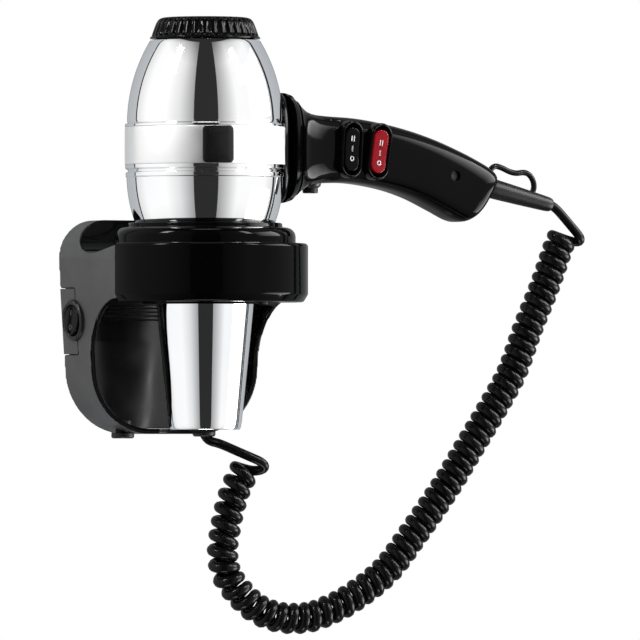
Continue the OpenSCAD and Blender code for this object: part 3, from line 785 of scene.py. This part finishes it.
def switch_place(joint_name):
    """Matrix from a switch's own frame (along, up, out) to the row, in millimetres."""
    hinge = joint(joint_name)
    along = Vector(hinge["axis"]).normalized()
    out = Vector((0, -1, 0))
    up = out.cross(along)
    turn = Matrix((along, up, out)).transposed().to_4x4()
    return Matrix.Translation(joint_mm(joint_name)) @ turn


def make_bezel(name, joint_name, node):
    """A frame round a rocker: a closed profile of (inset, height) swept round a stadium."""
    spot = switch_place(joint_name)
    profile = fillet([(0, -4), (0, 5.5, 1.1), (1.55, 5.5, 0.5), (1.7, 3.6), (1.7, -4)], 5)
    loops = [[spot @ Vector((*p, height)) for p in stadium(16.3 - inset, 7.0 - inset)]
             for inset, height in profile]
    piece = sharp_by_angle(skin(name, loops, wrap=True), 35)
    place(piece, gloss, "dryer", "black_satin", node)


ROCKER_L = 12.4             # half length of a rocker


def on_rocker(spot, p, lift=0.0):
    """A point over a rocker's face, which dips a little across its middle."""
    return spot @ Vector((p[0], p[1], 5.0 + 0.9 * (p[1] / ROCKER_L) ** 2 + lift))


def make_rocker(name, joint_name, node, material, slot):
    spot = switch_place(joint_name)
    half_w = 4.8
    levels = [(0, -0.5, 0), (0, 0, -1.0), (0.06, 0, -0.6), (0.2, 0, -0.28), (0.45, 0, -0.08),
              (0.8, 0, 0), (2.4, 0, 0), (3.8, 0, 0), (4.78, 0, 0)]
    loops = []
    for inset, floor, drop in levels:
        loops.append([spot @ Vector((*p, floor)) if floor < 0 else on_rocker(spot, p, drop)
                      for p in stadium(ROCKER_L - inset, half_w - inset)])
    place(skin(name, loops), material, joint(joint_name)["child"], slot, node)


MARK_LIFT, MARK_ROOT = 0.14, -0.25


def mark_bar(spot, along, up, w, h):
    """A small raised bar on a rocker's face."""
    loops = []
    for inset, lift in ((0, MARK_ROOT), (0, MARK_LIFT), (0.12, MARK_LIFT)):
        outline = fillet([(along - w / 2 + inset, up - h / 2 + inset, 0.15),
                          (along + w / 2 - inset, up - h / 2 + inset, 0.15),
                          (along + w / 2 - inset, up + h / 2 - inset, 0.15),
                          (along - w / 2 + inset, up + h / 2 - inset, 0.15)], 3)
        loops.append([on_rocker(spot, p, lift) for p in outline])
    return skin("mark_bar", loops)


def mark_ring(spot, along, up, radius, width):
    """A small raised ring on a rocker's face."""
    sides = 32
    loops = []
    for r, lift in ((radius, MARK_ROOT), (radius, MARK_LIFT), (radius - width, MARK_LIFT),
                    (radius - width, MARK_ROOT)):
        turns = [2 * math.pi * k / sides for k in range(sides)]
        loops.append([on_rocker(spot, (along + 0.86 * r * math.cos(a), up + r * math.sin(a)),
                                lift) for a in turns])
    return skin("mark_ring", loops, wrap=True)


def make_marks(name, joint_name, shift, slot):
    """Generic marks: two bars, one bar and a ring."""
    spot = switch_place(joint_name)
    bars = ((-0.75, 6.1, 0.6), (0.75, 6.1, 0.6), (0, 0.4, 0.65))
    parts = [mark_bar(spot, along, up + shift, w, 3.2) for along, up, w in bars]
    parts.append(mark_ring(spot, 0, -5.3 + shift, 1.5, 0.6))
    place(join_meshes(name, parts), ink, joint(joint_name)["child"], slot)


def make_cold_button():
    low, high = box_mm("cold_button")
    middle = (low + high) / 2
    at = Vector((middle.x, middle.y, low.z))
    height = high.z - low.z
    piece = lathe("cold_air_button", fillet([(0.01, 0), (4.4, 0, 0.7), (4.4, height - 1.2),
                  (5.3, height - 1.2, 0.2), (5.3, height, 0.2), (0.01, height)], 5), 64, at)
    ring = lathe("button_seat", fillet([(4.75, 3.2), (5.9, 4.0, 0.4), (6.3, 6.4), (4.75, 6.4)], 4),
                 64, at)
    place(piece, satin, "cold_button", "black_satin", "cold_button")
    place(ring, satin, "dryer", "black_satin")


# ---------------------------------------------------------------- strain relief

def make_strain_relief():
    path = [RELIEF_AT + relief_way * d for d in
            (-2, 0, 6, 14, 22, 30, 37, 41, 43, 44.2, 44.8, RELIEF_LEN)]
    sizes = [5.5, 5.75, 5.7, 5.45, 5.15, 4.8, 4.5, 4.3, 4.1, 3.75, 3.3, 2.8]
    piece = tube("strain_relief_sleeve", path, sizes, 32)
    place(piece, rubber, "dryer", "relief_rubber", "strain_relief")


def make_hanging_loop():
    route = [(186.6, 82.5), (186.6, 87.2), (187.6, 90.8), (190.6, 92.6), (195, 91.6),
             (200, 89.6), (204.5, 88.8), (209.5, 89.2), (213, 88), (215.6, 84.6),
             (216.2, 80.6), (214.6, 76.4)]
    points = even(spline([Vector((x, AXIS_Y, z)) for x, z in route], 8), 0.8)
    piece = tube("hanging_loop_ring", points, 1.65, 16)
    place(piece, loop_gloss, "dryer", "relief_rubber", "hanging_loop")


# ---------------------------------------------------------------- holder

RING_R = 58.0
HALF_H = 60.5
WALL = 3.0
TOP_C, LOW_C = (36.0, 38.5), (16.0, -22.5)  # centres of the outline's corners, as X and Z
RING_Z0, RING_Z1 = 12.5, 46.0
COLLAR_R, COLLAR_Z = 51.0, box_mm("ring_liner")[1].z
ARCH_C, ARCH_R = (-66.3, -19.3), 35.0       # the cheeks' lower curve, as Y and Z
SCOOP_C, SCOOP_R = (-37.0, 63.0), 22.0      # the hollow on top
BORE_R = 36.0
CHEEK = 31.5                                # depth of the cheeks at the bottom
FRONT = -130                                # well in front of everything


def holder_outline(inset, steps=20):
    top_r, low_r = HALF_H - TOP_C[1] - inset, HALF_H + LOW_C[1] - inset
    return (arc(TOP_C, top_r, 0, 90, steps)
            + arc((-TOP_C[0], TOP_C[1]), top_r, 90, 180, steps)
            + arc((-LOW_C[0], LOW_C[1]), low_r, 180, 270, steps)
            + arc(LOW_C, low_r, 270, 360, steps))


def prism(name, outline, low, high, axis):
    """An outline pushed along an axis: y for a front view, x for a side view, z from above."""
    order = {"x": (2, 0, 1), "y": (0, 2, 1), "z": (0, 1, 2)}[axis]
    return skin(name, [[[(*p, d)[k] for k in order] for p in outline] for d in (low, high)],
                smooth=False)


def combine(target, tool, operation="DIFFERENCE"):
    """Boolean one mesh with another, and drop the tool."""
    modifier = target.modifiers.new("combine", "BOOLEAN")
    modifier.operation = operation
    modifier.object = tool
    modifier.solver = "MANIFOLD"
    settle(target)
    bpy.data.objects.remove(tool)
    return target


def settle(piece):
    """Turn a piece's modifiers into its mesh."""
    graph = bpy.context.evaluated_depsgraph_get()
    mesh = bpy.data.meshes.new_from_object(piece.evaluated_get(graph))
    piece.modifiers.clear()
    piece.data = mesh
    return piece


def clip_below(outline, height):
    """The part of a closed outline below a height."""
    out = []
    for a, b in zip(outline, outline[1:] + outline[:1]):
        if a[1] <= height:
            out.append(a)
        if (a[1] - height) * (b[1] - height) < 0:
            t = (height - a[1]) / (b[1] - a[1])
            out.append((a[0] + (b[0] - a[0]) * t, height))
    return out


def cylinder(name, centre, radius, low, high, axis="z", sides=96):
    circle = [(centre[0] + radius * math.cos(2 * math.pi * k / sides),
               centre[1] + radius * math.sin(2 * math.pi * k / sides)) for k in range(sides)]
    return prism(name, circle, low, high, axis)


def make_housing():
    """The holder's black moulding: back box, cheeks, arch and scoop."""
    body = prism("holder_moulding", holder_outline(0), 0, FRONT, "y")
    side = ([(1, -HALF_H - 1), (-CHEEK, -HALF_H - 1)] + arc(ARCH_C, ARCH_R, 0, 90, 24)
            + [(FRONT, ARCH_C[1] + ARCH_R), (FRONT, RING_Z1), (AXIS_Y, RING_Z1)]
            + arc(SCOOP_C, SCOOP_R, 256, 353, 24) + [(-15.1, HALF_H + 1), (1, HALF_H + 1)])
    combine(body, prism("side", side, -70, 70, "x"), "INTERSECT")
    plan = ([(-RING_R, 1), (-RING_R, AXIS_Y)]
            + arc((0, AXIS_Y), RING_R, 180, 360, 64)[1:-1] + [(RING_R, AXIS_Y), (RING_R, 1)])
    combine(body, prism("plan", plan, -62, 62, "z"), "INTERSECT")
    ahead = [(-80, FRONT - 10), (80, FRONT - 10), (80, AXIS_Y - 0.5), (-80, AXIS_Y - 0.5)]
    combine(body, prism("front", ahead, RING_Z0 - 0.2, 70, "z"))
    feet = [(-GLAND_X, GLAND_Y), (GLAND_X, GLAND_Y)]
    for foot in feet:
        combine(body, cylinder("boss", foot, 6.5, -HALF_H, -HALF_H + 7), "UNION")
    low, high = box_mm("switch_plate")
    slot = [(-70, low.z - 0.3), (-47, low.z - 0.3), (-47, high.z + 0.3), (-70, high.z + 0.3)]
    hole = cylinder("switch_hole", (0, 0), 10.2, -8, 8)
    hole.data.transform(SWITCH_SPOT)
    for tool in (cylinder("bore", (0, AXIS_Y), BORE_R, -70, 70),
                 cylinder("collar", (0, AXIS_Y), COLLAR_R + 0.3, RING_Z1 - 0.5, 80),
                 prism("recess", clip_below(holder_outline(WALL), RING_Z0 - 0.1), 2, -70, "y"),
                 prism("seat", holder_outline(WALL), 2, -WALL - 0.1, "y"),
                 *[cylinder("foot_hole", foot, 5.1, -64, -50) for foot in feet],
                 prism("plate_slot", slot, low.y - 0.3, high.y + 0.3, "y"), hole):
        combine(body, tool)
    finish_moulding(body)


def finish_moulding(body):
    """Even out the moulding's mesh, round its edges and polish all but its outer sides, which stay
    grey satin whose lighter base is partly painted sheen.
    """
    remesh = body.modifiers.new("even_mesh", "REMESH")
    remesh.mode = "VOXEL"
    remesh.voxel_size = 0.6 * MM
    settle(body)
    blur = body.modifiers.new("round_edges", "SMOOTH")
    blur.factor = 0.5
    blur.iterations = 3
    settle(body)
    body.data.polygons.foreach_set("use_smooth", [True] * len(body.data.polygons))
    place(body, grey_satin_and_sheen, "holder", "black_gloss", "holder_housing")
    body.data.materials.append(gloss)
    # Outward sides take the grey satin, whose lightness is partly painted sheen; the rest is gloss
    for face in body.data.polygons:
        outward = face.normal.x * face.center.x + face.normal.z * face.center.z
        on_side = outward > 0.3 * face.center.length and abs(face.normal.y) < 0.35
        face.material_index = 0 if on_side else 1


def make_liner():
    """The stepped collar on the ring, with its guide sleeve down inside."""
    seat = curve(BOWL_C, BOWL_R + 0.4, COLLAR_Z - 0.5, 43, 16)
    back = curve(BOWL_C, BOWL_R + 2.6, 43, COLLAR_Z - 2.2, 12)
    shoulder = arc((COLLAR_R - 5.5, 50.2), 5.5, 0, 84, 10)
    step = fillet([(44.4, COLLAR_Z - 2.6, 0), (43.7, COLLAR_Z - 2.5, 0.4),
                   (43.3, COLLAR_Z, 0.9), (seat[0][0] + 0.1, COLLAR_Z, 0.5),
                   (seat[0][0], COLLAR_Z - 0.5)], 5)
    profile = ([(COLLAR_R - 2.4, RING_Z1 + 0.1), (COLLAR_R, RING_Z1 + 0.1)] + shoulder
               + step + seat[1:]
               + [(32.6, 42), (32.6, RING_Z0), (35.4, RING_Z0), (35.4, 42)]
               + back + [(43.2, 53.4), (47, 52), (COLLAR_R - 2.4, 49.6)])
    place(lathe("ring_collar", profile), ring_gloss, "holder", "black_gloss", "ring_liner")


def make_ring():
    """The glossy front ring: the front half of a turned channel, up to the housing."""
    low, high = RING_Z0 + 1.2, RING_Z1 + 0.8
    profile = fillet([(BORE_R, low, 0.5), (RING_R - 2.6, low, 2.2),
                      (RING_R, low + 4.4, 2.6), (RING_R, high, 2.0),
                      (COLLAR_R + 0.15, high, 0.3), (COLLAR_R + 0.15, RING_Z1 - 3),
                      (RING_R - 3, RING_Z1 - 3), (RING_R - 3, RING_Z0 + 6),
                      (RING_R - 4.5, RING_Z0 + 3), (BORE_R + 2.5, RING_Z0 + 3),
                      (BORE_R + 2.5, 43), (BORE_R, 43)], 7)
    ring = lathe("holder_front_ring", profile, 224)
    back = prism("back", [(-80, AXIS_Y), (80, AXIS_Y), (80, 20), (-80, 20)], -10, 70, "z")
    combine(ring, back)
    sharp_by_angle(ring, 28)
    place(ring, ring_gloss, "holder", "black_gloss", "holder_ring")


# The side switch's own frame: x up the wall, y along the row's Y and z outwards
SIDE_TILT = math.atan2(TOP_C[0] + HALF_H - TOP_C[1] - LOW_C[0] - HALF_H - LOW_C[1],
                       TOP_C[1] - LOW_C[1])
SWITCH_SPOT = Matrix.Translation(joint_mm("master_rock") * MM) @ Matrix.Rotation(
    -math.pi / 2 - SIDE_TILT, 4, "Y")


def make_side_switch():
    bezel = lathe("side_switch_bezel", fillet([(8.9, -3), (8.9, 1.6, 0.3), (10.2, 2.3, 0.5),
                  (11.4, 1.6, 0.6), (11.8, 0.1, 0.1), (10.1, 0.1), (10.1, -3)], 4), 96,
                  Vector((0, 0, 0)))
    bezel.data.transform(SWITCH_SPOT)
    place(bezel, satin, "holder", "black_satin", "switch_bezel")
    disc = lathe("side_rocker", fillet([(0.01, -1.9), (8.3, -1.9), (8.3, 2.3, 0.7),
                 (0.01, 2.3)], 5), 96, Vector((0, 0, 0)))
    tilt = Matrix.Rotation(math.radians(7), 4, "Y")
    disc.data.transform(SWITCH_SPOT @ tilt)
    place(disc, gloss, "master_rocker", "black_satin", "master_rocker")
    bar = prism("bar", fillet([(2.6, -0.35, 0.1), (5.6, -0.35, 0.1), (5.6, 0.35, 0.1),
                (2.6, 0.35, 0.1)], 3), 2.2, 2.4, "z")
    ring = lathe("ring", [(0.9, 2.2), (1.5, 2.2), (1.5, 2.4), (0.9, 2.4)], 32,
                 Vector((-4.1, 0, 0)))
    marks = join_meshes("side_rocker_marks", [bar, ring])
    marks.data.transform(SWITCH_SPOT @ tilt)
    place(marks, grey_satin_and_sheen, "master_rocker", "black_satin")


def make_feet():
    """The cord's gland and its twin, a blanking plug, under the holder."""
    for name, node, x in (("cord_gland_boss", "cord_gland", GLAND_X),
                          ("blanking_plug_boss", "blanking_plug", -GLAND_X)):
        low, high = box_mm(node)
        depth = high.z - low.z
        inner = WIRE_D / 2 + 0.15 if node == "cord_gland" else 0.01
        profile = fillet([(inner, 0.5, 0.2), (inner + 0.8, 0), (5.6, 0, 0.4), (6.5, 0.8, 0.4),
                          (6.5, 2.8), (5.0, 3.2), (5.0, depth), (inner, depth)], 4)
        piece = lathe(name, profile, 64, Vector((x, GLAND_Y, low.z)))
        place(piece, satin, "holder", "black_satin", node)


# ---------------------------------------------------------------- studio

def level_at(stops, value):
    """Brightness at an angle, from (angle, level) stops."""
    for (a0, v0), (a1, v1) in zip(stops, stops[1:]):
        if value <= a1:
            return v0 + (v1 - v0) * (value - a0) / (a1 - a0)
    return stops[-1][1]


def sheet(name, az, el, radius, material, columns=40, rows=20):
    """A curved card round the dryer, given as (angle, level) stops across and up.

    Azimuth is from the camera, growing to its right.
    """
    verts, faces, levels = [], [], []
    middle = Vector((0, AXIS_Y, 60))
    for i in range(columns + 1):
        for k in range(rows + 1):
            across = az[0][0] + (az[-1][0] - az[0][0]) * i / columns
            upward = el[0][0] + (el[-1][0] - el[0][0]) * k / rows
            a, e = math.radians(across), math.radians(upward)
            flat = -AHEAD * math.cos(a) + RIGHT * math.sin(a)
            verts.append(middle + radius * (flat * math.cos(e) + Vector((0, 0, math.sin(e)))))
            levels.append(level_at(az, across) * level_at(el, upward))
    for i in range(columns):
        for k in range(rows):
            a = i * (rows + 1) + k
            faces.append((a, a + 1, a + rows + 2, a + rows + 1))
    card = add_mesh(name, verts, faces)
    card.data.attributes.new("level", "FLOAT", "POINT").data.foreach_set("value", levels)
    card.visible_camera = False
    card.visible_shadow = False
    dress(card, material)
    return card


def glow(name, colour=(1, 1, 1)):
    """A card's light: as bright as the card's level says at each point."""
    material = bpy.data.materials.new(name)
    material.use_nodes = True
    nodes, links = material.node_tree.nodes, material.node_tree.links
    nodes.clear()
    level = nodes.new("ShaderNodeAttribute")
    level.attribute_name = "level"
    emit = nodes.new("ShaderNodeEmission")
    emit.inputs["Color"].default_value = (*colour, 1)
    links.new(level.outputs["Fac"], emit.inputs["Strength"])
    out = nodes.new("ShaderNodeOutputMaterial")
    links.new(emit.outputs["Emission"], out.inputs["Surface"])
    return material


def make_studio():
    world = bpy.data.worlds.new("studio")
    world.use_nodes = True
    bpy.context.scene.world = world
    background = world.node_tree.nodes["Background"]
    background.inputs["Color"].default_value = (1, 1, 1, 1)
    background.inputs["Strength"].default_value = 1.0
    plain, cool = glow("card"), glow("cool_card", (0.92, 0.96, 1.0))
    sheet("room_dark", [(-124, 0.03), (124, 0.03)], [(-89, 1), (89, 1)], 5200, plain)
    soft = [(-62, 0.4), (-40, 0.8), (-20, 1), (45, 1), (62, 0.35)]
    left = [(-120, 0.85), (-98, 1.12), (-60, 1.15), (-38, 0.9), (-16, 0.4)]
    right = [(20, 0.4), (34, 0.7), (50, 1.12), (98, 1.12), (118, 0.85)]
    sheet("left_soft", left, soft, 2600, plain)
    sheet("right_soft", right, soft, 2600, plain)
    neck = [(72, 4), (84, 14), (112, 20)]
    for name, az, el, radius in (
            ("left_spark", [(-66, 60), (-54, 60)], [(34, 1), (52, 1)], 2400),
            ("right_spark", [(58, 40), (68, 40)], [(26, 1), (50, 1)], 2400),
            ("neck_high", neck, [(6, 0.6), (14, 1), (36, 1)], 2400),
            ("neck_low", neck, [(-36, 1), (-14, 1), (-6, 0.6)], 2400),
            ("edge_line", [(-80, 9), (100, 9)], [(79, 1), (88, 1)], 2300),
            ("edge_line", [(-80, 12), (100, 12)], [(-88, 1), (-76, 1)], 2300)):
        sheet(name, az, el, radius, plain).visible_diffuse = False
    sheet("behind_dark", [(165, 0.3), (195, 0.3)], [(-89, 1), (89, 1)], 4000, plain)
    sheet("left_rim", [(-165, 0.5), (-124, 0.6)], [(-70, 1), (75, 1)], 3200, cool)
    sheet("right_rim", [(124, 0.6), (165, 0.5)], [(-70, 1), (75, 1)], 3200, cool)
    key = bpy.data.lights.new("key", "AREA")
    key.energy = 14
    key.size = 1.2
    lamp = bpy.data.objects.new("key", key)
    lamp.location = (-0.9, -1.3, 1.1)
    aim = Vector((0.05, AXIS_Y * MM, 0.02)) - Vector(lamp.location)
    lamp.rotation_euler = aim.to_track_quat("-Z", "Y").to_euler()
    lamp.visible_glossy = False
    bpy.context.scene.collection.objects.link(lamp)
    bpy.context.scene.view_settings.view_transform = "Standard"


# ---------------------------------------------------------------- assembly

make_upper_shell()
make_middle_band()
make_lower_shell()
make_nozzle()
make_nameplate()
make_inlet_cap()
make_handle()
make_flange()
make_bezel("speed_switch_bezel", "speed_rock", "speed_bezel")
make_bezel("heat_switch_bezel", "heat_rock", "heat_bezel")
make_rocker("speed_rocker_cap", "speed_rock", "speed_rocker", gloss, "black_satin")
make_rocker("heat_rocker_cap", "heat_rock", "heat_rocker", red_gloss, "red_rocker")
make_marks("speed_marks", "speed_rock", 0, "black_satin")
make_marks("heat_marks", "heat_rock", -1.2, "red_rocker")
make_cold_button()
make_strain_relief()
make_hanging_loop()
make_housing()
make_ring()
make_liner()
make_side_switch()
make_feet()

# CAD nodes that are shown as they are, each with its material and the width of its bevel
CARRIED = {
    "wall_plate": (inner, 0.4), "back_panel": (panel_gloss, 0.25), "panel_screw": (steel, 0.2),
    "screw_plug": (panel_gloss, 0.25), "gland_nut": (inner, 0.3), "switch_plate": (grey_satin_and_sheen, 0.2),
    "master_switch_body": (inner, 0.3), "terminal_block": (nylon, 0.4),
    "terminal_screws": (steel, 0.1), "outlet_grille": (satin, 0.2), "lint_filter": (inner, 0.15),
    "motor": (steel, 0.5), "motor_mount": (inner, 0.2), "impeller": (inner, 0.2),
    "motor_shaft": (steel, 0.1), "heater_former": (mica, 0.1), "heater_coil": (wire, 0),
    # the handle screw's near-black steel is painted shade for its screw well
    "mica_sleeve": (mica, 0.1), "thermostat": (nylon, 0.3), "handle_screw": (well_shade_steel, 0.2),
    "speed_switch_body": (inner, 0.3), "heat_switch_body": (inner, 0.3),
    "cold_switch_body": (inner, 0.3), "cold_button_spring": (wire, 0),
}
for node, (material, round_mm) in CARRIED.items():
    part = frame["nodes"][node]
    for slot in part.material_slots:
        slot.material = material
    if round_mm:
        soften(part, round_mm, 2, 40)

make_studio()
